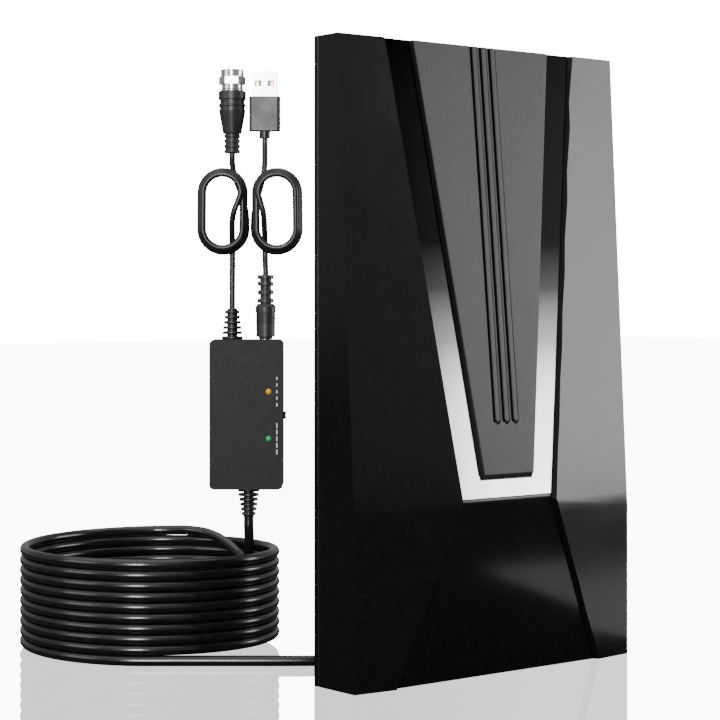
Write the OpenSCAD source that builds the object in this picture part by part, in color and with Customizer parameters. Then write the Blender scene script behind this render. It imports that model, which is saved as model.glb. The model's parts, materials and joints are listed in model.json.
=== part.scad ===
// Amplified flat television antenna: an upright panel, a coiled lead, an in-line amplifier box,
// an output lead with an F connector, and a USB power lead with a barrel plug.
// Millimetres. The panel faces -Y and stands on Z = 0; its bottom centre is the origin.

/* [Panel] */
// Width of the panel
panel_w = 160; // [150:1:180]
// Height of the panel
panel_h = 272; // [262:1:290]
// Distance from the origin plane to the back face
panel_back = 13; // [12:0.5:15]
// Front edge ahead of the origin plane, at the base
front_base = 14; // [13:0.5:16]
// Front edge ahead of the origin plane, at the top
front_top = 3; // [3:0.5:6]
// Height at which the front edge starts to lean back
knee_z = 68; // [60:1:70]
// How far the recess's rim stands ahead of the front edge, at the base
rise_base = 2.2; // [1.5:0.1:3]
// How far the rim stands ahead of the front edge, at the waist
rise_waist = 8.35; // [7:0.05:9]
// How far the rim stands ahead of the front edge, at the top
rise_top = 0.4; // [0.2:0.1:2]
// Wall thickness of the front shell
wall = 2.4; // [2:0.1:3]

/* [Front recess] */
// Height of the recess's waist
waist_z = 74.5; // [72:0.5:76]
// Half width of the recess at the top
recess_top = 55.4; // [52:0.1:57]
// Half width of the recess at its waist
recess_waist = 27.2; // [26:0.1:29]
// Half width of the recess at the bottom
recess_bottom = 59.2; // [56:0.1:62]
// Depth of the recess below the side faces
recess_depth = 3; // [2.6:0.1:3.6]
// Sideways run of the recess's sloping walls
recess_slope = 1.5; // [1.2:0.1:2]
// Height of the centre panel above the recess floor
centre_raise = 3; // [2.4:0.1:3.4]
// Number of ribs down the centre panel
rib_count = 3; // [1:2:5]
// Distance between neighbouring ribs
rib_pitch = 5.3; // [4.5:0.1:6]

/* [Lead] */
// Diameter of the coaxial lead
lead_d = 4.7; // [4.5:0.1:5]
// Mean diameter of the lead's coil
coil_mean_d = 116.4; // [100:0.1:120]
// Number of turns in the coil
coil_turns = 10; // [6:1:10]

/* [Amplifier] */
// Width of the amplifier box
amp_w = 34.5; // [34:0.1:36]
// Height of the amplifier box
amp_h = 70.5; // [70:0.1:72]
// Thickness of the amplifier box
amp_t = 16; // [15:0.5:18]
// Height of the underside of the amplifier box
amp_z = 72.4; // [72:0.1:73]
// Wall thickness of the amplifier box
amp_wall = 1.6; // [1.4:0.1:2]
// Diameter of an indicator lamp
lamp_d = 2.9; // [2.5:0.1:3]
// Travel of the range switch either way from the middle
switch_travel = 1; // [0.5:0.1:1.2]

/* [Connectors] */
// Diameter of the output cord
output_d = 2.8; // [2.4:0.1:3]
// Diameter of the USB cord
usb_d = 2.8; // [2.4:0.1:3]
// Width across the flats of the F connector's nut
nut_flats = 11; // [10.5:0.1:11.2]
// Width of the USB plug's metal shell
usb_shell_w = 12; // [11.9:0.1:12.1]
// Thickness of the USB plug's metal shell
usb_shell_t = 4.5; // [4.4:0.1:4.6]
// Diameter of the power plug's barrel
barrel_d = 5.5; // [5.3:0.1:5.5]

/* [Hidden] */
$fn = 48;
eps = 0.02;
half_w = panel_w / 2;
trim_z = waist_z + 2.3;
centre_foot_z = trim_z + 7.8;
fit_gap = 0.1;
rib_end_z = 109;
rib_r = 1.25;
rib_proud = 0.8;
groove_w = 0.8;
groove_deep = 0.9;
far_front = 60;

// The panel's seam: shell rim, seal and rear cover from front to back.
seal_t = 0.8;
cover_t = 2.6;
seam_y = panel_back - cover_t - seal_t;
boss_x = half_w - 6.6;
boss_z = [9, panel_h / 2, panel_h - 9];
screw_r = 1.4;
board_y = 4.6;
board_t = 1.6;
board_w = 120;
board_z = [34, 246];
standoff_x = 50;
standoff_z = [46, 232];
wall_hole_x = 40;
wall_hole_z = 190;
wall_hole_r = 2.25;
gland_x = -6;
gland_z = 13;
gland_len = 14;

// The coil, the amplifier and the plugs share axes turned about Z, called the rig: u runs to
// the right along the amplifier's front face, v away behind it.
rig_x = -41;
rig_y = 116;
rig_turn = -38.9;
mid_v = amp_t / 2;
coil_u = -44.8;
amp_top = amp_z + amp_h;
output_u = -6.9;
input_u = 0.9;
input_tip_z = amp_z - 13.5;
output_tip_z = amp_top + 14.6;
jack_u = 8.9;
lamp_u = 10.6;
amber_z = 118.5;
green_z = 96.4;
knob_z = 107;
knob_half = 1.7;
slot_half = knob_half + switch_travel + 0.5;
board_v = 9.4;
amp_screw_u = amp_w / 2 - 4;
amp_screw_z = [amp_z + 5, amp_top - 16];

// Connectors, by height.
f_z = 231;
f_boot_top = 260.2;
nut_z = 261.2;
nut_top = 270.4;
sleeve_z = 246;
sleeve_r = 4.6;
core_r = 2.4;
pin_r = 0.5;
neck_r = 3.5;
run_gap = 0.06;
thread_r = 4.76;
plug_z = 144.1;
plug_tip_z = 173.4;
usb_u = 8.5;
usb_relief_z = 238;
usb_body_z = 241.5;
usb_shell_z = 257.6;
usb_top = 269.3;

// Hanks: three turns of cord, each a little smaller than the one behind it.
hank_w = 24.8;
hank_z = [182.8, 224.4];
hank_band = 4.8;
hank_v = [-1.1, 8.9];
output_hank_u = -11.2;
usb_hank_u = 14.3;

// Cord routes, each a list of points chosen along the way the cord lies. The first is in the
// panel's axes, the others are in the rig's.
lead_run_route = [[-6, 27, 13], [-6, 30.5, 13], [-6.6, 35, 12.3], [-9.5, 40, 10], [-14.7, 43.5, 7.2],
    [-22, 45, 4.8], [-31, 44.8, 3.2], [-40.5, 45.6, 2.5], [-50, 49.4, 2.35], [-62, 58.2, 2.35],
    [-74, 67.8, 2.35], [-86, 77.5, 2.35], [-94, 84, 2.35]];
lead_rise_route = [[-32.8, 56.3, 47.3], [-22.3, 50.4, 46.6], [-14, 42.8, 44], [-7.8, 35, 40.4],
    [-3.2, 27.5, 37.6], [-0.4, 20.5, 38.3], [0.7, 14.5, 42.2], [1, 10, 48], [0.9, 8.1, 53.5],
    [0.9, 8, 56.8], [0.9, 8, 58.9]];
output_lower_route = [[-6.9, 8, 157.5], [-6.9, 8, 164], [-6.9, 8.4, 171], [-6.9, 9.3, 177],
    [-6.9, 10.1, 182.1]];
output_upper_route = [[-6.4, 9.4, 222.6], [-6.9, 8.5, 226.4], [-6.9, 8, 229.2], [-6.9, 8, 231]];
usb_lower_route = [[8.9, 8, 173.4], [8.9, 8, 175.4], [8.7, 8.9, 179.2], [8.6, 9.7, 182.4]];
usb_upper_route = [[8.2, 9.4, 223.6], [8.5, 8.9, 228.6], [8.5, 8.2, 233.6], [8.5, 8, 236.2],
    [8.5, 8, 238]];

// ---- shapes shared by several sub-parts ----

// Front edge of the panel at height z, at its outer corners.
function edge_y(z) = z < knee_z ? -front_base
    : -front_base + (z - knee_z) * (front_base - front_top) / (panel_h - knee_z);
function mix(a, b, t) = a + (b - a) * t;
// Front of the recess's rim at height z, in two straight runs that meet at the waist.
function rim_y(z) = z < waist_z
    ? mix(edge_y(0) - rise_base, edge_y(waist_z) - rise_waist, z / waist_z)
    : mix(edge_y(waist_z) - rise_waist, edge_y(panel_h) - rise_top,
        (z - waist_z) / (panel_h - waist_z));
// Front face of the panel at half width x, straight from the outer edge to the rim.
function face_y(x, z) = mix(edge_y(z), rim_y(z), (half_w - x) / (half_w - recess_x(z)));
// Half width of the recess's rim at height z.
function recess_x(z) = z < waist_z
    ? mix(recess_bottom, recess_waist, z / waist_z)
    : mix(recess_waist, recess_top, (z - waist_z) / (panel_h - waist_z));
// Recess floor at height z.
function floor_y(z) = rim_y(z) + recess_depth;
// Half width of the centre panel at height z.
function centre_x(z) = mix(15.2, 40.1, (z - centre_foot_z) / (panel_h - centre_foot_z));
function unit(v) = v / norm(v);

// Solid through a list of rings with the same number of points each. The rings run clockwise,
// looking back from the last one to the first.
module loft(rings) {
    n = len(rings[0]);
    last = len(rings) - 1;
    polyhedron(
        points = [for (ring = rings) each ring],
        faces = concat(
            [[for (i = [n - 1 : -1 : 0]) i]],
            [for (k = [0 : last - 1], i = [0 : n - 1])
                each [[k * n + i, k * n + (i + 1) % n, (k + 1) * n + i],
                    [k * n + (i + 1) % n, (k + 1) * n + (i + 1) % n, (k + 1) * n + i]]],
            [[for (i = [0 : n - 1]) last * n + i]]));
}

// Round tube of radius r swept along a route, with flat ends square to it.
module tube(route, r, sides) {
    last = len(route) - 1;
    heading = [for (i = [0 : last])
        unit(route[min(i + 1, last)] - route[max(i - 1, 0)])];
    across = [for (i = 0, a = unit(cross(heading[0], [0.31, 0.84, 0.44])); i <= last;
        i = i + 1, a = i <= last ? unit(a - (a * heading[i]) * heading[i]) : a) a];
    loft([for (i = [0 : last])
        [for (j = [0 : sides - 1])
            let (angle = 360 * j / sides, other = cross(heading[i], across[i]))
                route[i] + r * (cos(angle) * across[i] - sin(angle) * other)]]);
}

// Outer block of the panel, shrunk by inset on every side but the back.
module panel_block(inset) {
    x = half_w - inset;
    front = [inset, waist_z / 3, waist_z * 2 / 3, knee_z, waist_z,
        for (i = [1 : 5]) mix(waist_z, panel_h, i / 6), panel_h - inset];
    back = seam_y + (inset > 0 ? 1 : 0);
    function outline(px, rx) = [[px, back, panel_h - inset], [px, back, inset],
        for (z = front) [px, face_y(rx, z) + inset, z]];
    loft([outline(-x, half_w), outline(0, 0), outline(x, half_w)]);
}

// The recess's space above its floor, grown outwards by grow.
module recess_space(grow) {
    wall_run = recess_slope / recess_depth;
    function ring(z) = let (y = floor_y(z) + grow, w = recess_x(z) - recess_slope + grow,
            far = w + wall_run * (y + far_front))
        [[-w, y, z], [w, y, z], [far, -far_front, z], [-far, -far_front, z]];
    loft([ring(-1), ring(waist_z), ring(panel_h + 1)]);
}

// A thin plate on the recess floor; half_x is a function from height to half width.
module floor_plate(levels, thick) {
    loft([for (level = levels) let (z = level[0], x = level[1], y = floor_y(z))
        [[-x, y, z], [x, y, z], [x, y - thick, z], [-x, y - thick, z]]]);
}

module along_y(y0, y1, r) {
    translate([0, y0, 0]) rotate([-90, 0, 0]) cylinder(h = y1 - y0, r = r);
}

module at_bosses() {
    for (x = [-boss_x, boss_x], z = boss_z) translate([x, 0, z]) children();
}

// ---- the panel ----

module front_shell() color("#17181a") {
    difference() {
        panel_block(0);
        recess_space(0);
        difference() {
            panel_block(wall);
            recess_space(wall);
        }
    }
    for (side = [0, 1], z = boss_z) mirror([side, 0, 0]) translate([boss_x, 0, z])
        screw_boss(edge_y(z) + 0.3);
}

// Boss for a cover screw, rising from inside the front wall to the seam.
module screw_boss(root_y) {
    difference() {
        along_y(root_y, seam_y, 3);
        along_y(-1.5, seam_y + 1, screw_r + 0.05);
    }
}

module centre_panel() {
    bevel = 0.8;
    foot_lift = 2.2;
    function ring(z, lift) = let (x = centre_x(z), y = floor_y(z))
        [[-x, y, z], [x, y, z], [x - bevel, y - centre_raise, z + lift],
            [bevel - x, y - centre_raise, z + lift]];
    color("#4c4d4f") {
        difference() {
            loft([ring(centre_foot_z, foot_lift), ring(panel_h, 0)]);
            at_ribs() rib_bar(rib_r + groove_w, rib_proud, groove_deep, 2);
        }
        at_ribs() rib_bar(rib_r, rib_proud, groove_deep + 0.1, -0.1);
    }
}

// Places its children at each rib's lower end, along the centre panel's face.
module at_ribs() {
    lean = atan((floor_y(panel_h) - floor_y(rib_end_z)) / (panel_h - rib_end_z));
    for (i = [0 : rib_count - 1])
        translate([(i - (rib_count - 1) / 2) * rib_pitch, floor_y(rib_end_z) - centre_raise, rib_end_z])
            rotate([-lean, 0, 0]) children();
}

// Bar with a round lower end, from proud above the face to deep below it; past is how far it
// goes beyond the panel's top.
module rib_bar(r, proud, deep, past) {
    run = norm([panel_h - rib_end_z, floor_y(panel_h) - floor_y(rib_end_z)]);
    translate([-r, -proud, rib_r]) cube([2 * r, proud + deep, run - rib_r + past]);
    translate([0, deep, rib_r]) rotate([90, 0, 0]) cylinder(h = proud + deep, r = r);
}

module v_trim() color("#b9bbbd") {
    thick = 1;
    difference() {
        floor_plate([for (z = [trim_z, panel_h]) [z, recess_x(z) - recess_slope - fit_gap]], thick);
        loft([for (z = [centre_foot_z - fit_gap, panel_h + 1]) let (x = centre_x(z) + fit_gap)
            [[-x, 20, z], [x, 20, z], [x, -far_front, z], [-x, -far_front, z]]]);
    }
}

module lower_fascia() color("#0b0c0d") {
    floor_plate([for (z = [0, waist_z, trim_z - fit_gap])
        [z, recess_x(z) - recess_slope - fit_gap]], 0.8);
}

module rear_cover() color("#1b1c1e") {
    y = panel_back - cover_t;
    difference() {
        union() {
            translate([-half_w, y, 0]) cube([panel_w, cover_t, panel_h]);
            for (x = [-standoff_x, standoff_x], z = standoff_z) translate([x, 0, z])
                along_y(board_y + board_t, y + eps, 3.2);
        }
        at_bosses() {
            along_y(y - 1, panel_back + 1, screw_r + 0.2);
            along_y(panel_back - 1.6, panel_back + 1, 3);
        }
        for (x = [-standoff_x, standoff_x], z = standoff_z) translate([x, 0, z])
            along_y(board_y, y + 0.6, 1.25);
        for (x = [-wall_hole_x, wall_hole_x]) translate([x, 0, wall_hole_z])
            along_y(y - 1, panel_back + 1, wall_hole_r);
        translate([gland_x, 0, gland_z]) along_y(y - 1, panel_back + 1, 5);
    }
}

module rear_cover_screws() color("#8b8d90") {
    at_bosses() {
        along_y(-1, panel_back - 1.6 + eps, screw_r);
        difference() {
            along_y(panel_back - 1.6, panel_back - 0.2, 2.7);
            translate([-1.6, panel_back - 0.9, -0.35]) cube([3.2, 1, 0.7]);
            translate([-0.35, panel_back - 0.9, -1.6]) cube([0.7, 1, 3.2]);
        }
    }
}

module perimeter_seal() color("#2b2b2b") {
    edge = 0.3;
    band = 1.9;
    translate([-half_w + edge, seam_y, edge]) difference() {
        cube([panel_w - 2 * edge, seal_t, panel_h - 2 * edge]);
        translate([band, -1, band])
            cube([panel_w - 2 * (edge + band), seal_t + 2, panel_h - 2 * (edge + band)]);
    }
}

module antenna_board() color("#1f5a3a") {
    difference() {
        translate([-board_w / 2, board_y, board_z[0]])
            cube([board_w, board_t, board_z[1] - board_z[0]]);
        for (x = [-standoff_x, standoff_x], z = standoff_z) translate([x, 0, z])
            along_y(board_y - 1, board_y + board_t + 1, 1.4);
    }
}

// Printed copper: two tapered arms and a row of loops either side of the feed.
module antenna_elements() color("#b87333") {
    foil = 0.2;
    translate([0, board_y, 140]) rotate([90, 0, 0]) linear_extrude(foil) {
        for (side = [-1, 1]) scale([1, side]) {
            polygon([[-4, 3], [4, 3], [42, 84], [-42, 84]]);
            for (x = [-1, 1]) translate([x * 34, 12]) difference() {
                square([30, 18], center = true);
                square([24, 12], center = true);
            }
        }
    }
}

module board_screws() color("#9a9c9f") {
    for (x = [-standoff_x, standoff_x], z = standoff_z) translate([x, 0, z]) {
        along_y(board_y - 1.4, board_y, 2.4);
        along_y(board_y - eps, board_y + board_t + 2.8, 1.2);
    }
}

module balun_can() color("#a9abae") {
    translate([-11, board_y + board_t, 46]) difference() {
        cube([22, 3, 16]);
        translate([0.4, -1, 0.4]) cube([21.2, 3.6, 15.2]);
    }
}

module cable_gland() color("#151515") {
    inner = panel_back - cover_t;
    translate([gland_x, 0, gland_z]) {
        along_y(inner - 1.6, inner, 6.5);
        along_y(inner - eps, panel_back, 4.95);
        along_y(panel_back, panel_back + 2, 6.2);
        along_y(panel_back + 2 - eps, panel_back + gland_len, 3);
        for (i = [0 : 3]) along_y(panel_back + 3.4 + 2.7 * i, panel_back + 5 + 2.7 * i, 4.8 - 0.4 * i);
    }
}

module inner_coax() color("#151515") {
    y = panel_back - cover_t - 1.6;
    tube([[gland_x, y, gland_z], [gland_x, 4, gland_z], [gland_x - 1, 0, 16],
        [gland_x - 4, -1.5, 22], [gland_x - 9, -1, 29], [gland_x - 12, 0.5, 38],
        [gland_x - 12, 1.6, 46]], lead_d / 2, 8);
}

// ---- the lead ----

module lead_run() color("#101012") tube(lead_run_route, lead_d / 2, 10);

module lead_coil() color("#101012") {
    on_rig() translate([coil_u, 0, 0]) rotate_extrude($fn = 96)
        translate([(coil_mean_d - lead_d) / 2, 0]) square([lead_d, lead_d * (coil_turns + 0.5)]);
}

module lead_rise() color("#101012") on_rig() tube(lead_rise_route, lead_d / 2, 10);

// ---- the amplifier ----

module on_rig() {
    translate([rig_x, rig_y, 0]) rotate([0, 0, rig_turn]) children();
}

// Upright cylinder at (u, v) on the rig.
module post(u, v, z0, z1, r) {
    translate([u, v, z0]) cylinder(h = z1 - z0, r = r);
}

// Outline of the amplifier box with round corners, drawn in u and z and extruded along v.
module amp_block(v0, v1, inset) {
    r = 2.4 - inset;
    u = amp_w / 2 - inset;
    translate([0, v1, amp_z]) rotate([90, 0, 0]) linear_extrude(v1 - v0) {
        translate([-u + r, inset]) square([2 * (u - r), amp_h - 2 * inset]);
        translate([-u, inset + r]) square([2 * u, amp_h - 2 * (inset + r)]);
        for (x = [r - u, u - r], z = [inset + r, amp_h - inset - r]) translate([x, z]) circle(r);
    }
}

module at_amp_screws() {
    for (u = [-amp_screw_u, amp_screw_u], z = amp_screw_z) translate([u, 0, z]) children();
}

// Openings in the ends and the side, shared by both halves of the box.
module amp_openings() {
    post(output_u, mid_v, amp_top - 3, amp_top + 1, 3.6);
    post(input_u, mid_v, amp_z - 1, amp_z + 3, 3.6);
    post(jack_u, mid_v, amp_top - 3, amp_top + 1, 4.2);
    translate([amp_w / 2 - 3, mid_v - 1.6, knob_z - slot_half - 0.2])
        cube([4, 3.2, 2 * slot_half + 0.4]);
}

module amp_front_shell() color("#2a2a2b") on_rig() difference() {
    amp_block(0, mid_v, 0);
    difference() {
        amp_block(amp_wall, mid_v + 1, amp_wall);
        at_amp_screws() along_y(0, mid_v, 2.6);
    }
    at_amp_screws() along_y(amp_wall + 1, mid_v + 1, 1.05);
    amp_openings();
    for (z = [amber_z, green_z]) translate([lamp_u, 0, z]) along_y(-1, amp_wall + 1, lamp_d / 2 + 0.05);
}

module amp_rear_shell() color("#2a2a2b") on_rig() difference() {
    amp_block(mid_v, amp_t, 0);
    difference() {
        amp_block(mid_v - 1, amp_t - amp_wall, amp_wall);
        at_amp_screws() along_y(mid_v, amp_t, 2.6);
    }
    at_amp_screws() {
        along_y(mid_v - 1, amp_t + 1, 1.2);
        along_y(amp_t - 2.4, amp_t + 1, 2.1);
    }
    amp_openings();
}

module amp_screws() color("#8b8d90") on_rig() at_amp_screws() {
    along_y(3.4, amp_t - 2.4 + eps, 1);
    difference() {
        along_y(amp_t - 2.4, amp_t - 1.1, 1.9);
        translate([-1.2, amp_t - 1.7, -0.3]) cube([2.4, 1, 0.6]);
        translate([-0.3, amp_t - 1.7, -1.2]) cube([0.6, 1, 2.4]);
    }
}

module amp_board() color("#1f5a3a") on_rig() difference() {
    translate([-14.4, board_v + 1.6, amp_z + 5]) cube([28.8, 1.2, amp_h - 20]);
    at_amp_screws() along_y(0, amp_t, 2.9);
}

module amp_shield_can() color("#a9abae") on_rig()
    translate([-12, 4, 84]) difference() {
        cube([14, 7, 26]);
        translate([0.4, 0.4, 0.4]) cube([13.2, 8, 25.2]);
    }

// Parts soldered to the board's front: a regulator, two capacitors, a coil and a row of chips.
module amp_components() color("#3a3b3e") on_rig() {
    front = board_v + 1.6;
    translate([-11, front - 2, 114]) cube([6, 2, 5]);
    for (z = [86, 91]) translate([6, 0, z]) along_y(front - 4.4, front, 2);
    translate([5, front - 2.6, 118]) cube([4, 2.6, 4]);
    for (i = [0 : 3]) translate([-1.5 + 2 * i, front - 0.7, 113]) cube([1.2, 0.7, 2]);
}

module switch_body() color("#c7c9cb") on_rig() difference() {
    translate([9.2, 4.6, knob_z - 4.4]) cube([5.8, 6.4, 8.8]);
    translate([11, mid_v - 1.4, knob_z - slot_half]) cube([5, 2.8, 2 * slot_half]);
}

module switch_knob() color("#0e0e0f") on_rig() {
    translate([11.4, mid_v - 1.1, knob_z - knob_half])
        cube([amp_w / 2 + 1.2 - 11.4, 2.2, 2 * knob_half]);
    for (i = [-1, 1]) translate([amp_w / 2 + 1, mid_v - 1.1, knob_z + 1.1 * i - 0.35])
        cube([0.5, 2.2, 0.7]);
}

module lamp() {
    r = lamp_d / 2;
    translate([0, r * 0.5, 0]) rotate([-90, 0, 0]) cylinder(h = 5.5, r = r);
    translate([0, r * 0.5, 0]) intersection() {
        sphere(r);
        translate([-r, -r, -r]) cube([2 * r, r + 0.01, 2 * r]);
    }
}

module amber_lamp() color("#d9a425") on_rig() translate([lamp_u, 0, amber_z]) lamp();

module green_lamp() color("#2f9c54") on_rig() translate([lamp_u, 0, green_z]) lamp();

// Socket for the power plug: an outer barrel and a pin, both on a block.
module dc_jack() color("#222326") on_rig() {
    depth = 10.4;
    difference() {
        post(jack_u, mid_v, amp_top - depth - 1.6, amp_top, 4.1);
        post(jack_u, mid_v, amp_top - depth, amp_top + 1, barrel_d / 2 + 0.05);
    }
    post(jack_u, mid_v, amp_top - depth - eps, amp_top - 1.5, 1);
}

// Ribbed strain relief that starts on the box at z0 and narrows towards z1.
module relief(u, z0, z1, r0, r1, ribs) {
    step = (z1 - z0) / ribs;
    rise = sign(z1 - z0);
    core = r1 - 0.9;
    post(u, mid_v, min(z0, z1), max(z0, z1), core);
    for (i = [0 : ribs - 1]) let (z = z0 + step * i, r = r0 + (r1 - r0) * i / (ribs - 1))
        post(u, mid_v, min(z, z + step * 0.6), max(z, z + step * 0.6), r);
    post(u, mid_v, z0 - (rise > 0 ? amp_wall : 0), z0 + (rise > 0 ? 0 : amp_wall), 3.5);
    post(u, mid_v, z0 - (rise > 0 ? amp_wall + 1.4 : -amp_wall),
        z0 + (rise > 0 ? -amp_wall : amp_wall + 1.4), 4.6);
}

module output_relief() color("#1c1c1d") on_rig() relief(output_u, amp_top, output_tip_z, 4.95, 3.4, 6);

module input_relief() color("#1c1c1d") on_rig() relief(input_u, amp_z, input_tip_z, 5.15, 3.4, 6);

// ---- output lead and F connector ----

module cord(route, d) {
    on_rig() tube(route, d / 2, 8);
}

// Outer shape of a hank: an oblong ring, extruded along v.
module hank(u) {
    module oblong(r) {
        straight = hank_z[1] - hank_z[0] - hank_w;
        square([2 * r, straight], center = true);
        for (s = [-1, 1]) translate([0, s * straight / 2]) circle(r);
    }
    on_rig() translate([u, hank_v[1], (hank_z[0] + hank_z[1]) / 2]) rotate([90, 0, 0])
        linear_extrude(hank_v[1] - hank_v[0]) difference() {
            oblong(hank_w / 2);
            oblong(hank_w / 2 - hank_band);
        }
}

module output_lower() color("#141414") cord(output_lower_route, output_d);

module output_hank() color("#141414") hank(output_hank_u);

module output_upper() color("#141414") cord(output_upper_route, output_d);

module f_boot() color("#2b2b2c") on_rig() difference() {
    cone_z = f_z + 9.2;
    // Each collar's start and end above the cone's foot, and its radius.
    collars = [[11.2, 12.8, 5.9], [12.8, 14, 6.4], [14, 16, 5.8], [16, f_boot_top - cone_z, 6.5]];
    union() {
        post(output_u, mid_v, f_z, cone_z, 3.2);
        for (i = [0 : 3]) post(output_u, mid_v, f_z + 2.4 * i, f_z + 2.4 * i + 1.6, 3.75);
        translate([output_u, mid_v, cone_z]) cylinder(h = 11.2, r1 = 4.4, r2 = 6.4);
        for (step = collars) post(output_u, mid_v, cone_z + step[0], cone_z + step[1], step[2]);
    }
    post(output_u, mid_v, sleeve_z, f_boot_top + 1, sleeve_r);
}

module f_ferrule() color("#c9cbce") on_rig() difference() {
    union() {
        post(output_u, mid_v, sleeve_z, f_boot_top, sleeve_r);
        post(output_u, mid_v, f_boot_top, nut_z - 0.15, 5.2);
        post(output_u, mid_v, nut_z - 0.2, nut_z + 2.3, neck_r);
        post(output_u, mid_v, nut_z + 2.25, nut_z + 3.2, 4.3);
    }
    post(output_u, mid_v, sleeve_z - 1, nut_top, core_r);
}

module f_nut() color("#d4d6d8") on_rig() difference() {
    union() {
        post(output_u, mid_v, nut_z, nut_z + 2.2, 5);
        translate([output_u, mid_v, nut_z + 2.2]) cylinder(h = 3.6, r = nut_flats / 2 / cos(30), $fn = 6);
        post(output_u, mid_v, nut_z + 5.8, nut_top, 5.4);
    }
    post(output_u, mid_v, nut_z - 1, nut_top + 1, neck_r + run_gap);
    post(output_u, mid_v, nut_z + 2.1, nut_top + 1, thread_r);
}

module f_dielectric() color("#e8e8e4") on_rig() difference() {
    post(output_u, mid_v, sleeve_z + 0.2, nut_z + 3.2, core_r);
    post(output_u, mid_v, sleeve_z - 1, nut_z + 4, pin_r);
}

module f_centre_pin() color("#b87333") on_rig()
    post(output_u, mid_v, sleeve_z + 0.4, nut_top + 0.6, pin_r);

// ---- power lead: barrel plug, cord and USB plug ----

module dc_overmould() color("#1d1d1e") on_rig() difference() {
    union() {
        post(jack_u, mid_v, amp_top + 0.2, plug_z, 3.25);
        post(jack_u, mid_v, plug_z, 150.5, 4.5);
        for (i = [0 : 4]) post(jack_u, mid_v, 150.5 + i, 151.1 + i, 4.75);
        post(jack_u, mid_v, 150.5, 155.6, 4.5);
        post(jack_u, mid_v, 155.6, 158.2, 4.85);
        translate([jack_u, mid_v, 158.2]) cylinder(h = 1.6, r1 = 4.85, r2 = 3.9);
        post(jack_u, mid_v, 159.8, plug_tip_z, 2.7);
        for (z = [160.2, 164.2, 168.2, 171.4]) post(jack_u, mid_v, z, z + 2, 3.85);
    }
    post(jack_u, mid_v, amp_top, 150, 2.2);
}

module dc_barrel() color("#d0d2d4") on_rig() difference() {
    union() {
        post(jack_u, mid_v, amp_top - 9.8, amp_top + 0.2, barrel_d / 2);
        post(jack_u, mid_v, amp_top + 0.2, 150, 2.2);
    }
    post(jack_u, mid_v, amp_top - 10, 151, 1.6);
}

module dc_insulator() color("#e2e2e0") on_rig() difference() {
    post(jack_u, mid_v, amp_top - 9.8, 150, 1.6);
    post(jack_u, mid_v, amp_top - 10, amp_top, 1.06);
}

module usb_lower() color("#141414") cord(usb_lower_route, usb_d);

module usb_hank() color("#141414") hank(usb_hank_u);

module usb_upper() color("#141414") cord(usb_upper_route, usb_d);

module usb_overmould() color("#1a1a1b") on_rig() {
    body_w = 14.6;
    body_t = 7.6;
    r = 1.4;
    post(usb_u, mid_v, usb_relief_z, usb_body_z, 2.55);
    difference() {
        translate([usb_u, mid_v, usb_body_z]) linear_extrude(usb_shell_z - usb_body_z) {
            square([body_w - 2 * r, body_t], center = true);
            square([body_w, body_t - 2 * r], center = true);
            for (x = [-1, 1], y = [-1, 1])
                translate([x * (body_w / 2 - r), y * (body_t / 2 - r)]) circle(r);
        }
        translate([usb_u - usb_shell_w / 2, mid_v - usb_shell_t / 2, usb_shell_z - 6])
            cube([usb_shell_w, usb_shell_t, 7]);
    }
}

module usb_shell() color("#d6d8da") on_rig() difference() {
    t = 0.3;
    translate([usb_u - usb_shell_w / 2, mid_v - usb_shell_t / 2, usb_shell_z - 6])
        cube([usb_shell_w, usb_shell_t, usb_top - usb_shell_z + 6]);
    translate([usb_u - usb_shell_w / 2 + t, mid_v - usb_shell_t / 2 + t, usb_shell_z - 5.7])
        cube([usb_shell_w - 2 * t, usb_shell_t - 2 * t, 20]);
    for (side = [-1, 1], v = [0, usb_shell_t]) translate([usb_u + side * 3 - 1.5,
        mid_v - usb_shell_t / 2 + v - 0.5, 262.5]) cube([3, 1, 2.6]);
}

module usb_tongue() color("#e9e9e6") on_rig()
    translate([usb_u - 5.6, mid_v + 0.1, usb_shell_z - 5.6]) cube([11.2, 1.8, usb_top - usb_shell_z + 4.8]);

module usb_contacts() color("#d5b054") on_rig()
    for (u = [-3.5, -1, 1, 3.5]) translate([usb_u + u - 0.5, mid_v - 0.1, usb_shell_z - 2])
        cube([1, 0.2, usb_top - usb_shell_z + 0.6]);

front_shell();
centre_panel();
v_trim();
lower_fascia();
rear_cover();
rear_cover_screws();
perimeter_seal();
antenna_board();
antenna_elements();
board_screws();
balun_can();
cable_gland();
inner_coax();
lead_run();
lead_coil();
lead_rise();
amp_front_shell();
amp_rear_shell();
amp_board();
amp_shield_can();
amp_components();
amp_screws();
switch_body();
switch_knob();
amber_lamp();
green_lamp();
dc_jack();
input_relief();
output_relief();
output_lower();
output_hank();
output_upper();
f_boot();
f_ferrule();
f_nut();
f_dielectric();
f_centre_pin();
dc_overmould();
dc_insulator();
dc_barrel();
usb_lower();
usb_hank();
usb_upper();
usb_overmould();
usb_shell();
usb_tongue();
usb_contacts();
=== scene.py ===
"""Amplified flat television antenna: looks, cords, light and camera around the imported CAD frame.

Metres. The panel faces -Y and stands on Z = 0. The coil, the amplifier and the plugs share a
second set of axes, the rig: u to the right along the amplifier's face, v away behind it, z up.
"""
import json
import math

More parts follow.
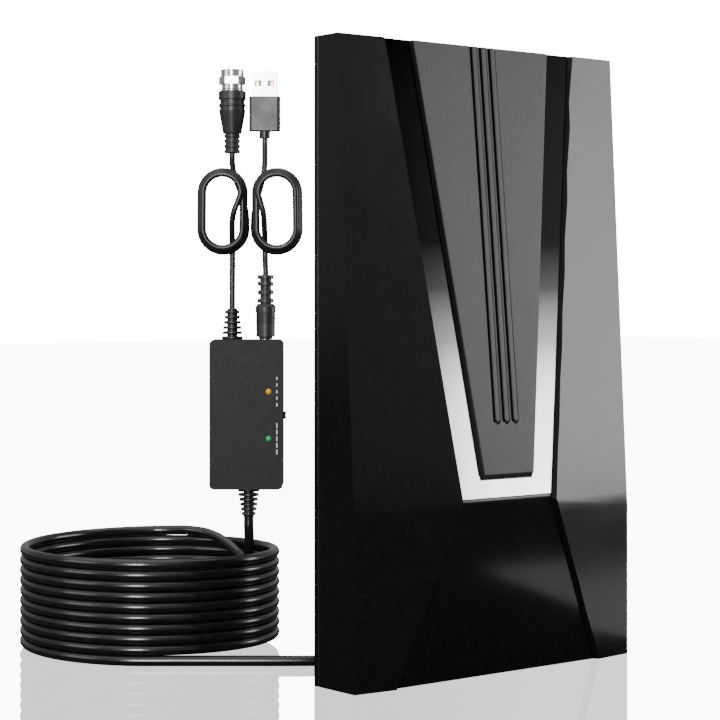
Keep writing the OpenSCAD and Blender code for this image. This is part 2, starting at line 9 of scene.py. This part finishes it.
import bmesh
import bpy
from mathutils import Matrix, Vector


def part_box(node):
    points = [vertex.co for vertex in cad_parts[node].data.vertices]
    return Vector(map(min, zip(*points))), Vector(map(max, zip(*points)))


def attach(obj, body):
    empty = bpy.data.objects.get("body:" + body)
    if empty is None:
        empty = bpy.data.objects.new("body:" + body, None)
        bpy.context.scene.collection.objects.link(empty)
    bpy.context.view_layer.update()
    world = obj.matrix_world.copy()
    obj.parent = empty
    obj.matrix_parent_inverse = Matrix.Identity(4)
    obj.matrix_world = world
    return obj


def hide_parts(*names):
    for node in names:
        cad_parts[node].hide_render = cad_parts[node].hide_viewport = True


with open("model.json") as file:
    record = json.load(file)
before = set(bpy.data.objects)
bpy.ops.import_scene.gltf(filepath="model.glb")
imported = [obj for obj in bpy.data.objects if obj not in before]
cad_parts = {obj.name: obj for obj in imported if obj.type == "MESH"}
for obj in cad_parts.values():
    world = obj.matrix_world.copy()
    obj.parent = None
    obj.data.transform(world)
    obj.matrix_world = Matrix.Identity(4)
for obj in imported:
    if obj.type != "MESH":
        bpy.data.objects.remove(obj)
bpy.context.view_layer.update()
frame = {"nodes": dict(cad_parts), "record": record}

# The rig's origin and its turn about Z, which the camera shares.
RIG = Vector((-0.041, 0.116, 0))
TURN = math.radians(-38.9)
AXIS_U = Vector((math.cos(TURN), math.sin(TURN), 0))
AXIS_V = Vector((-math.sin(TURN), math.cos(TURN), 0))

# Cords: diameters, lengths along the line, and the steps between neighbouring route points.
LEAD_D = 0.0047
CORD_D = 0.0028
ROUTE_STEPS = 3

# The coil, and the hanks: their first turn's radius, how much each turn grows, and its place in depth.
COIL_U = -0.0448
COIL_R = 0.0582
COIL_TURNS = 9.5
HANK_Z = 0.2036
HANK_TURNS = 2.837
HANK_STRAIGHT = 0.0084
HANK_R = 0.0086
HANK_GROWTH = 0.0009
HANK_V = 0.0003
HANK_PITCH = 0.00265

# Strengths of the backdrop, of the light the object gets from all round, and of the floor's glow.
BACKDROP = 16.0
ALL_ROUND = 0.32
FLOOR_GLOW = BACKDROP * 0.3
FLOOR_MIRROR = 0.75

# The printed dashes beside the lamps.
MARK_U = 0.0145
MARK_PITCH = 0.0031
MARK_R = 0.00028
MARK_PROUD = 0.00004
MARK_SUNK = 0.00002
MARK_SIDES = 16
MARKS_IN_ROW = 5


def rig(u, v, z):
    """A point given along the rig's axes, in the row frame."""
    return RIG + AXIS_U * u + AXIS_V * v + Vector((0, 0, z))


# ---- camera, light and floor ----


def add_camera():
    data = bpy.data.cameras.new("camera")
    data.sensor_width = 36
    data.lens = 103
    data.shift_y = -0.0833
    data.clip_start = 0.01
    camera = bpy.data.objects.new("camera", data)
    bpy.context.collection.objects.link(camera)
    camera.location = (-0.6065, -0.6701, 0.1615)
    camera.rotation_euler = (math.radians(90), 0, TURN)
    bpy.context.scene.camera = camera


def add_area(name, place, target, size, power, height=None):
    """A lamp of that many watts at place, square unless it has a height, turned to the target."""
    data = bpy.data.lights.new(name, "AREA")
    data.energy = power
    data.size = size
    if height is not None:
        data.shape = "RECTANGLE"
        data.size_y = height
    light = bpy.data.objects.new(name, data)
    bpy.context.collection.objects.link(light)
    light.location = place
    light.visible_camera = False
    light.rotation_euler = (Vector(target) - Vector(place)).to_track_quat("-Z", "Y").to_euler()


def light_path(tree, *outputs):
    """One when any of the ray kinds named is the one being traced."""
    path = tree.nodes.new("ShaderNodeLightPath")
    found = path.outputs[outputs[0]]
    for name in outputs[1:]:
        larger = tree.nodes.new("ShaderNodeMath")
        larger.operation = "MAXIMUM"
        tree.links.new(found, larger.inputs[0])
        tree.links.new(path.outputs[name], larger.inputs[1])
        found = larger.outputs[0]
    return found


def add_world():
    """White behind everything and in the floor's mirror, dim for what the object reflects."""
    world = bpy.data.worlds.new("studio")
    bpy.context.scene.world = world
    world.use_nodes = True
    tree = world.node_tree
    tree.nodes.clear()
    seen = tree.nodes.new("ShaderNodeBackground")
    seen.inputs["Strength"].default_value = BACKDROP
    lit = tree.nodes.new("ShaderNodeBackground")
    lit.inputs["Strength"].default_value = ALL_ROUND
    for sky in (seen, lit):
        sky.inputs["Color"].default_value = (1, 1, 1, 1)
    mix = tree.nodes.new("ShaderNodeMixShader")
    out = tree.nodes.new("ShaderNodeOutputWorld")
    tree.links.new(light_path(tree, "Is Camera Ray", "Is Singular Ray"), mix.inputs["Fac"])
    tree.links.new(lit.outputs[0], mix.inputs[1])
    tree.links.new(seen.outputs[0], mix.inputs[2])
    tree.links.new(mix.outputs[0], out.inputs["Surface"])


def floor_material():
    """A white floor with a part-strength mirror in it, which stays dark in the object's own gloss."""
    material = bpy.data.materials.new("floor_white")
    material.use_nodes = True
    tree = material.node_tree
    tree.nodes.clear()
    dark = tree.nodes.new("ShaderNodeBsdfDiffuse")
    dark.inputs["Color"].default_value = (0.06, 0.06, 0.06, 1)
    glow = tree.nodes.new("ShaderNodeEmission")
    glow.inputs["Strength"].default_value = FLOOR_GLOW
    mirror = tree.nodes.new("ShaderNodeBsdfGlossy")
    mirror.inputs["Roughness"].default_value = 0
    white = tree.nodes.new("ShaderNodeMixShader")
    white.inputs["Fac"].default_value = FLOOR_MIRROR
    mix = tree.nodes.new("ShaderNodeMixShader")
    out = tree.nodes.new("ShaderNodeOutputMaterial")
    tree.links.new(glow.outputs[0], white.inputs[1])
    tree.links.new(mirror.outputs[0], white.inputs[2])
    tree.links.new(light_path(tree, "Is Camera Ray"), mix.inputs["Fac"])
    tree.links.new(dark.outputs[0], mix.inputs[1])
    tree.links.new(white.outputs[0], mix.inputs[2])
    tree.links.new(mix.outputs[0], out.inputs["Surface"])
    return material


def add_floor():
    mesh = bpy.data.meshes.new("floor")
    half = 6.0
    corners = [(-half, -half, 0), (half, -half, 0), (half, half, 0), (-half, half, 0)]
    mesh.from_pydata(corners, [], [(0, 1, 2, 3)])
    floor = bpy.data.objects.new("floor", mesh)
    bpy.context.collection.objects.link(floor)
    mesh.materials.append(floor_material())


# ---- materials ----


def grey(value):
    return (value, value, value)


def new_material(name, color, roughness, metallic=0.0, specular=0.5, coat=0.0):
    material = bpy.data.materials.new(name)
    material.use_nodes = True
    shader = material.node_tree.nodes["Principled BSDF"]
    shader.inputs["Base Color"].default_value = (*color, 1)
    shader.inputs["Roughness"].default_value = roughness
    shader.inputs["Metallic"].default_value = metallic
    shader.inputs["Specular IOR Level"].default_value = specular
    shader.inputs["Coat Weight"].default_value = coat
    shader.inputs["Coat Roughness"].default_value = 0.08
    return material, material.node_tree, shader


def noise(tree, scale, detail=3.0):
    """Noise at scale cells per metre, in the object's own space."""
    place = tree.nodes.new("ShaderNodeTexCoord")
    node = tree.nodes.new("ShaderNodeTexNoise")
    node.inputs["Scale"].default_value = scale
    node.inputs["Detail"].default_value = detail
    tree.links.new(place.outputs["Object"], node.inputs["Vector"])
    return node


def add_grain(tree, shader, scale, depth, strength=0.5):
    """A fine bump, depth metres deep, at scale cells per metre."""
    grain = noise(tree, scale)
    bump = tree.nodes.new("ShaderNodeBump")
    bump.inputs["Strength"].default_value = strength
    bump.inputs["Distance"].default_value = depth
    tree.links.new(grain.outputs["Fac"], bump.inputs["Height"])
    tree.links.new(bump.outputs["Normal"], shader.inputs["Normal"])


def vary_roughness(tree, shader, low, high, scale):
    """Smudges and wear: roughness drifts between low and high over the surface."""
    cloud = noise(tree, scale, 4.0)
    ramp = tree.nodes.new("ShaderNodeMapRange")
    ramp.inputs["From Min"].default_value = 0.35
    ramp.inputs["From Max"].default_value = 0.65
    ramp.inputs["To Min"].default_value = low
    ramp.inputs["To Max"].default_value = high
    tree.links.new(cloud.outputs["Fac"], ramp.inputs["Value"])
    tree.links.new(ramp.outputs["Result"], shader.inputs["Roughness"])


def vary_color(tree, shader, dark, light, scale):
    """The colour drifts between two close shades over the surface."""
    cloud = noise(tree, scale, 5.0)
    ramp = tree.nodes.new("ShaderNodeValToRGB")
    ramp.color_ramp.elements[0].position = 0.35
    ramp.color_ramp.elements[0].color = (*dark, 1)
    ramp.color_ramp.elements[1].position = 0.65
    ramp.color_ramp.elements[1].color = (*light, 1)
    tree.links.new(cloud.outputs["Fac"], ramp.inputs["Fac"])
    tree.links.new(ramp.outputs["Color"], shader.inputs["Base Color"])


def plastic(name, dark, light, rough, grain, depth, specular=0.5, coat=0.0):
    """Moulded plastic or rubber: two close shades, drifting roughness and a fine grain."""
    material, tree, shader = new_material(name, light, rough[0], specular=specular, coat=coat)
    shade_cells = grain * 0.25
    wear_cells = grain * 0.05
    vary_color(tree, shader, dark, light, shade_cells)
    vary_roughness(tree, shader, *rough, wear_cells)
    add_grain(tree, shader, grain, depth)
    return material


def metal(name, color, rough):
    """Bare or plated metal with drifting roughness and a very fine grain."""
    material, tree, shader = new_material(name, color, rough[0], metallic=1.0)
    vary_roughness(tree, shader, *rough, 300)
    add_grain(tree, shader, 3000, 0.00001, 0.25)
    return material


def painted_reflection_trim_material(bottom, top):
    """Plated band with a painted reflection: its colour is bright at the bottom and darkens to black towards
    the panel's top.
    """
    material, tree, shader = new_material("trim_painted_reflection", grey(0.5), 0.16, metallic=1.0)
    place = tree.nodes.new("ShaderNodeTexCoord")
    split = tree.nodes.new("ShaderNodeSeparateXYZ")
    span = tree.nodes.new("ShaderNodeMapRange")
    span.inputs["From Min"].default_value = bottom
    span.inputs["From Max"].default_value = top
    ramp = tree.nodes.new("ShaderNodeValToRGB")
    # Painted reflection: the plate's colour is set by height, bright below and black above, in place of the
    # light the band reflects.
    painted_reflection_stops = [(0.0, 0.7), (0.2, 0.5), (0.34, 0.13), (0.46, 0.02), (0.56, 0.002), (1.0, 0.0005)]
    for end in (0, -1):
        ramp.color_ramp.elements[end].position = painted_reflection_stops[end][0]
        ramp.color_ramp.elements[end].color = (*grey(painted_reflection_stops[end][1]), 1)
    for position, value in painted_reflection_stops[1:-1]:
        stop = ramp.color_ramp.elements.new(position)
        stop.color = (value, value, value * 1.01, 1)
    tree.links.new(place.outputs["Object"], split.inputs[0])
    tree.links.new(split.outputs["Z"], span.inputs["Value"])
    tree.links.new(span.outputs["Result"], ramp.inputs["Fac"])
    tree.links.new(ramp.outputs["Color"], shader.inputs["Base Color"])
    vary_roughness(tree, shader, 0.14, 0.2, 60)
    add_grain(tree, shader, 900, 0.00001, 0.15)
    return material


def centre_material():
    """Satin grey on the faces that look to the front. Painted shade on the side walls and on the walls of the
    ribs and grooves, which turn sideways and go near black.
    """
    shades = (0.048, 0.048, 0.049), (0.055, 0.055, 0.056)
    material = plastic("centre_panel", *shades, (0.44, 0.47), 2600, 0.00003, 0.4)
    tree = material.node_tree
    shader = tree.nodes["Principled BSDF"]
    # Painted shade: faces turned sideways, judged by the face's own normal, get a near-black colour in place
    # of the satin grey.
    face = tree.nodes.new("ShaderNodeTexCoord")
    split = tree.nodes.new("ShaderNodeSeparateXYZ")
    painted_side_shade = tree.nodes.new("ShaderNodeMapRange")
    painted_side_shade.inputs["From Min"].default_value = -0.8
    painted_side_shade.inputs["From Max"].default_value = -0.95
    mix = tree.nodes.new("ShaderNodeMix")
    mix.data_type = "RGBA"
    mix.inputs["A"].default_value = (*grey(0.002), 1)
    satin = shader.inputs["Base Color"].links[0].from_socket
    tree.links.new(face.outputs["Normal"], split.inputs[0])
    tree.links.new(split.outputs["Y"], painted_side_shade.inputs["Value"])
    tree.links.new(painted_side_shade.outputs["Result"], mix.inputs["Factor"])
    tree.links.new(satin, mix.inputs["B"])
    tree.links.new(mix.outputs["Result"], shader.inputs["Base Color"])
    return material


def lens(name, color):
    """A lamp's clear coloured plastic, faintly lit."""
    material, tree, shader = new_material(name, color, 0.12, coat=0.6)
    shader.inputs["Emission Color"].default_value = (*color, 1)
    shader.inputs["Emission Strength"].default_value = 0.12
    vary_roughness(tree, shader, 0.1, 0.2, 800)
    add_grain(tree, shader, 1500, 0.00002, 0.3)
    return material


def board_material():
    """Solder mask with faint copper tracks under it."""
    material, tree, shader = new_material("solder_mask", (0.02, 0.14, 0.06), 0.35, coat=0.3)
    place = tree.nodes.new("ShaderNodeTexCoord")
    tracks = tree.nodes.new("ShaderNodeTexBrick")
    tracks.inputs["Scale"].default_value = 120
    tracks.inputs["Color1"].default_value = (0.02, 0.13, 0.06, 1)
    tracks.inputs["Color2"].default_value = (0.025, 0.16, 0.07, 1)
    tracks.inputs["Mortar"].default_value = (0.06, 0.24, 0.1, 1)
    tree.links.new(place.outputs["Object"], tracks.inputs["Vector"])
    tree.links.new(tracks.outputs["Color"], shader.inputs["Base Color"])
    vary_roughness(tree, shader, 0.3, 0.42, 300)
    add_grain(tree, shader, 2500, 0.00002, 0.3)
    return material


def make_materials():
    trim_low, trim_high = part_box("v_trim")
    return {
        "panel_shell": plastic("panel_shell", grey(0.002), grey(0.004), (0.18, 0.2), 1800, 0.00001, 0.45),
        "centre_panel": centre_material(),
        "trim": painted_reflection_trim_material(trim_low.z, trim_high.z),
        "fascia": plastic("fascia", grey(0.002), (0.003, 0.003, 0.004), (0.12, 0.15), 900, 0.000004),
        "screw_steel": metal("screw_steel", (0.55, 0.56, 0.58), (0.25, 0.4)),
        "seal_rubber": plastic("seal_rubber", grey(0.01), grey(0.02), (0.6, 0.75), 2500, 0.00004),
        "board": board_material(),
        "copper": metal("copper", (0.75, 0.38, 0.18), (0.2, 0.35)),
        "tinned_steel": metal("tinned_steel", (0.62, 0.63, 0.65), (0.25, 0.4)),
        "relief_rubber": plastic("relief_rubber", grey(0.01), grey(0.018), (0.34, 0.44), 2500, 0.00004),
        "boot_plastic": plastic(
            "boot_plastic", (0.018, 0.018, 0.019), (0.028, 0.028, 0.029), (0.36, 0.46), 3000, 0.00003
        ),
        "lead_jacket": plastic(
            "lead_jacket", (0.005, 0.005, 0.006), (0.009, 0.009, 0.011), (0.2, 0.27), 1200, 0.00002, coat=0.2
        ),
        "cord_jacket": plastic("cord_jacket", grey(0.012), grey(0.02), (0.3, 0.38), 2500, 0.00002),
        "amp_plastic": plastic(
            "amp_plastic", (0.006, 0.006, 0.0055), (0.011, 0.0105, 0.010), (0.46, 0.5), 5200, 0.00012, 0.25
        ),
        "component": plastic(
            "component", (0.02, 0.02, 0.022), (0.04, 0.04, 0.044), (0.4, 0.5), 3000, 0.00003
        ),
        "knob_plastic": plastic("knob_plastic", grey(0.006), grey(0.01), (0.4, 0.5), 3000, 0.00003),
        "amber_lamp": lens("amber_lamp", (0.75, 0.42, 0.03)),
        "green_lamp": lens("green_lamp", (0.03, 0.42, 0.12)),
        "nickel": metal("nickel", (0.78, 0.78, 0.79), (0.14, 0.24)),
        "insulator": plastic(
            "insulator", (0.74, 0.74, 0.71), (0.82, 0.82, 0.79), (0.35, 0.45), 1500, 0.00002
        ),
        "print": plastic("print", (0.72, 0.72, 0.71), (0.8, 0.8, 0.79), (0.5, 0.6), 3000, 0.00001),
        "usb_plastic": plastic(
            "usb_plastic", (0.010, 0.010, 0.011), (0.016, 0.016, 0.017), (0.3, 0.38), 3000, 0.00002
        ),
        "contact_gold": metal("contact_gold", (0.85, 0.62, 0.28), (0.18, 0.3)),
    }


# ---- pieces ----


def add_mesh(name, mesh, material):
    """Puts a finished bmesh in the scene as a piece of that material."""
    data = bpy.data.meshes.new(name)
    mesh.to_mesh(data)
    mesh.free()
    piece = bpy.data.objects.new(name, data)
    bpy.context.collection.objects.link(piece)
    data.materials.append(material)
    return piece


def body_of(node):
    groups = frame["record"]["behaviour"]["bodies"]
    return next(name for name, members in groups.items() if node in members)


def slot_of(node):
    return next(s["material_slot"] for s in frame["record"]["subparts"] if s["node"] == node)


def soften(node, width, segments=3):
    """The CAD node with its outward edges rounded, or cut flat with one segment, in its place."""
    flat = math.radians(0.05)
    sharp_angle = math.radians(25)
    mesh = bmesh.new()
    mesh.from_mesh(frame["nodes"][node].data)
    bmesh.ops.remove_doubles(mesh, verts=mesh.verts, dist=1e-6)
    bmesh.ops.dissolve_limit(
        mesh, angle_limit=flat, verts=mesh.verts, edges=mesh.edges, delimit=set()
    )
    sharp = [e for e in mesh.edges if e.is_manifold and e.calc_face_angle_signed(0) > sharp_angle]
    bmesh.ops.bevel(
        mesh, geom=sharp, offset=width, segments=segments, profile=0.5, affect="EDGES",
        clamp_overlap=True, harden_normals=False,
    )
    bmesh.ops.triangulate(mesh, faces=[f for f in mesh.faces if len(f.verts) > 4])
    piece = add_mesh(node + "_finish", mesh, materials[slot_of(node)])
    shade(piece)
    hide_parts(node)
    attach(piece, body_of(node))
    return piece


def shade(piece):
    """Smooth shading that keeps the sharper edges crisp."""
    crisp = math.radians(28)
    mesh = bmesh.new()
    mesh.from_mesh(piece.data)
    for face in mesh.faces:
        face.smooth = True
    for edge in mesh.edges:
        edge.smooth = edge.is_manifold and edge.calc_face_angle(0) < crisp
    mesh.to_mesh(piece.data)
    mesh.free()
    weigh = piece.modifiers.new("flat_faces_stay_flat", "WEIGHTED_NORMAL")
    weigh.weight = 100
    weigh.keep_sharp = True


def print_marks(name, centre_z, dash):
    """A row of plain white dashes printed beside a lamp, each dash long, with round ends."""
    mesh = bmesh.new()
    for k in range(MARKS_IN_ROW):
        z0 = centre_z + (k - (MARKS_IN_ROW - 1) / 2) * MARK_PITCH
        rim = []
        for i in range(MARK_SIDES):
            angle = 2 * math.pi * (i + 0.5) / MARK_SIDES
            lift = math.copysign(dash / 2 - MARK_R, math.sin(angle))
            rim.append((MARK_R * math.cos(angle), z0 + lift + MARK_R * math.sin(angle)))
        top = [mesh.verts.new(rig(MARK_U + u, -MARK_PROUD, z)) for u, z in rim]
        foot = [mesh.verts.new(rig(MARK_U + u, MARK_SUNK, z)) for u, z in rim]
        mesh.faces.new(top)
        mesh.faces.new(foot[::-1])
        for i in range(MARK_SIDES):
            j = (i + 1) % MARK_SIDES
            mesh.faces.new((top[j], top[i], foot[i], foot[j]))
    bmesh.ops.recalc_face_normals(mesh, faces=mesh.faces)
    piece = add_mesh(name, mesh, materials["print"])
    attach(piece, "root")


# ---- cords ----


def through(points):
    """A smooth line through the points, with ROUTE_STEPS stretches between neighbours."""
    points = [Vector(p) for p in points]
    ends = [points[0] * 2 - points[1]] + points + [points[-1] * 2 - points[-2]]
    line = []
    for a, b, c, d in zip(ends, ends[1:], ends[2:], ends[3:]):
        squared = 2 * a - 5 * b + 4 * c - d
        cubed = 3 * b - a - 3 * c + d
        for i in range(ROUTE_STEPS):
            t = i / ROUTE_STEPS
            line.append(0.5 * (2 * b + (c - a) * t + squared * t**2 + cubed * t**3))
    return line + [points[-1]]


def cord_piece(name, line, diameter, slot, body, *nodes):
    """A round cord along the line, in place of the CAD nodes named."""
    curve = bpy.data.curves.new(name, "CURVE")
    curve.dimensions = "3D"
    curve.bevel_depth = diameter / 2
    curve.bevel_resolution = 8
    curve.use_fill_caps = True
    spline = curve.splines.new("POLY")
    spline.points.add(len(line) - 1)
    for point, place in zip(spline.points, line):
        point.co = (*place, 1)
    spline.use_smooth = True
    curve.materials.append(materials[slot])
    piece = bpy.data.objects.new(name, curve)
    bpy.context.collection.objects.link(piece)
    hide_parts(*nodes)
    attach(piece, body)
    return piece


def coil_turns():
    """The lead's coil: round turns that climb by one diameter each, from the front clockwise."""
    per_turn = 48
    points = []
    for i in range(int(COIL_TURNS * per_turn) + 1):
        turn = i / per_turn
        angle = math.radians(-90 - 360 * turn)
        z = LEAD_D / 2 + LEAD_D * turn
        points.append(rig(COIL_U + COIL_R * math.cos(angle), COIL_R * math.sin(angle), z))
    return points


def hank_turns(centre_u, side):
    """Oblong turns of a hank, each a little larger than the last and behind it."""
    per_turn = 40
    points = []
    for i in range(int(HANK_TURNS * per_turn) + 1):
        turn = i / per_turn
        radius = HANK_R + HANK_GROWTH * turn
        v = HANK_V + HANK_PITCH * turn
        arc = math.pi * radius
        s = (turn % 1) * (2 * arc + 4 * HANK_STRAIGHT)
        if s < arc:
            u, z = radius * math.cos(s / radius), HANK_STRAIGHT + radius * math.sin(s / radius)
        elif s < arc + 2 * HANK_STRAIGHT:
            u, z = -radius, HANK_STRAIGHT - (s - arc)
        elif s < 2 * arc + 2 * HANK_STRAIGHT:
            along = (s - arc - 2 * HANK_STRAIGHT) / radius
            u, z = -radius * math.cos(along), -HANK_STRAIGHT - radius * math.sin(along)
        else:
            u, z = radius, -HANK_STRAIGHT + (s - 2 * arc - 2 * HANK_STRAIGHT)
        points.append(rig(centre_u + side * u, v, HANK_Z + z))
    return points


def lead_line():
    run = [
        (-0.006, 0.027, 0.013), (-0.006, 0.0305, 0.013), (-0.0066, 0.035, 0.0123), (-0.0095, 0.040, 0.010),
        (-0.0147, 0.0435, 0.0072), (-0.022, 0.045, 0.0048), (-0.031, 0.0448, 0.0032),
        (-0.0405, 0.0456, 0.0025), (-0.050, 0.0494, 0.00235), (-0.062, 0.0582, 0.00235),
        (-0.074, 0.0678, 0.00235), (-0.086, 0.0775, 0.00235), (-0.094, 0.084, 0.00235),
        (-0.104, 0.092, 0.00235),
    ]
    rise = [
        (-0.0328, 0.0563, 0.0473), (-0.0223, 0.0504, 0.0466), (-0.014, 0.0428, 0.044),
        (-0.0078, 0.035, 0.0404), (-0.0032, 0.0275, 0.0376), (-0.0004, 0.0205, 0.0383),
        (0.0007, 0.0145, 0.0422), (0.001, 0.010, 0.048), (0.0009, 0.0081, 0.0535),
        (0.0009, 0.008, 0.0568), (0.0009, 0.008, 0.0589),
    ]
    return through(run + coil_turns() + [rig(*p) for p in rise])


def output_line():
    lower = [
        (-0.0069, 0.008, 0.1575), (-0.0069, 0.008, 0.164), (-0.0069, 0.0084, 0.171), (-0.0069, 0.0093, 0.177),
        (-0.0069, 0.0101, 0.1821), (-0.0069, 0.0098, 0.1866), (-0.0069, 0.0076, 0.1911),
        (-0.0068, 0.0042, 0.1956), (-0.0064, 0.0016, 0.1998), (-0.0054, 0.0004, 0.2038),
        (-0.0039, 0.0003, 0.2076), (-0.0029, 0.0003, 0.2103),
    ]
    upper = [
        (-0.0001, 0.0082, 0.1991), (-0.0006, 0.0089, 0.2036), (-0.0018, 0.0094, 0.2086),
        (-0.0035, 0.0096, 0.2136), (-0.0052, 0.0096, 0.2184), (-0.0064, 0.0094, 0.2226),
        (-0.0069, 0.0085, 0.2264), (-0.0069, 0.008, 0.2292), (-0.0069, 0.008, 0.231),
    ]
    turns = hank_turns(-0.0112, 1)
    return through([rig(*p) for p in lower] + turns + [rig(*p) for p in upper])


def usb_line():
    lower = [
        (0.0089, 0.008, 0.1734), (0.0089, 0.008, 0.1754), (0.0087, 0.0089, 0.1792), (0.0086, 0.0097, 0.1824),
        (0.0085, 0.0098, 0.1862), (0.0085, 0.008, 0.1904), (0.0085, 0.0046, 0.195), (0.0084, 0.0018, 0.1994),
        (0.0079, 0.0005, 0.2036), (0.0068, 0.0003, 0.2076), (0.006, 0.0003, 0.2103),
    ]
    upper = [
        (0.0032, 0.0082, 0.1991), (0.0036, 0.0089, 0.2036), (0.0046, 0.0094, 0.2086),
        (0.006, 0.0096, 0.2136), (0.0073, 0.0096, 0.2186), (0.0082, 0.0094, 0.2236),
        (0.0085, 0.0089, 0.2286), (0.0085, 0.0082, 0.2336), (0.0085, 0.008, 0.2362),
        (0.0085, 0.008, 0.238),
    ]
    turns = hank_turns(0.0143, -1)
    return through([rig(*p) for p in lower] + turns + [rig(*p) for p in upper])


# ---- build ----

add_camera()
materials = make_materials()

lead = cord_piece(
    "antenna_lead", lead_line(), LEAD_D, "lead_jacket", "root", "lead_run", "lead_coil", "lead_rise"
)
output = cord_piece(
    "output_cord", output_line(), CORD_D, "cord_jacket", "root", "output_lower", "output_hank", "output_upper"
)
usb = cord_piece(
    "usb_cord", usb_line(), CORD_D, "cord_jacket", "power_lead", "usb_lower", "usb_hank", "usb_upper"
)

# Sharp edges get a radius that suits each moulding, and the front shell's are cut flat.
EDGE_RADII = {
    "front_shell": 0.001, "centre_panel": 0.0004, "v_trim": 0.0002, "lower_fascia": 0.0002,
    "rear_cover": 0.0005, "amp_front_shell": 0.0006, "amp_rear_shell": 0.0006,
    "cable_gland": 0.00035, "input_relief": 0.0004, "output_relief": 0.0004, "f_boot": 0.0003,
    "f_nut": 0.00025, "f_ferrule": 0.0002, "dc_overmould": 0.00025, "usb_overmould": 0.0004,
    "usb_shell": 0.0001, "switch_knob": 0.00015, "dc_barrel": 0.0001, "dc_jack": 0.0002,
}
finished = {
    node: soften(node, width, segments=1 if node == "front_shell" else 3)
    for node, width in EDGE_RADII.items()
}

for name, obj in frame["nodes"].items():
    obj.data.materials.clear()
    obj.data.materials.append(materials[slot_of(name)])

print_marks("short_range_marks", 0.1185, 0.0016)
print_marks("long_range_marks", 0.0964, 0.0024)


def declare_cords():
    boot_pieces = [finished[n] for n in ("f_boot", "f_nut", "f_ferrule")]
    boot_pieces += [frame["nodes"][n] for n in ("f_dielectric", "f_centre_pin")]
    plug_pieces = [finished[n] for n in ("dc_overmould", "dc_barrel", "usb_overmould", "usb_shell")]
    plug_pieces += [frame["nodes"][n] for n in ("dc_insulator", "usb_tongue", "usb_contacts")]


declare_cords()
add_world()
add_floor()
add_area("key_right", (1.16, -0.70, 0.33), (0.0, 0.0, 0.2), 0.94, 11, 0.62)
add_area("top", (-0.2, 0.1, 1.5), (0.0, 0.1, 0.0), 2.2, 18)
add_area("left_fill", (-1.3, 0.3, 0.5), (-0.08, 0.1, 0.15), 0.7, 4)
add_area("edge_left", (-1.2, -0.97, 0.42), (-0.08, 0.0, 0.15), 0.34, 20, 0.8)
add_area("floor_glow", (0.23, -0.07, 0.002), (0.23, -0.07, 1.0), 0.24, 0.12, 0.16)
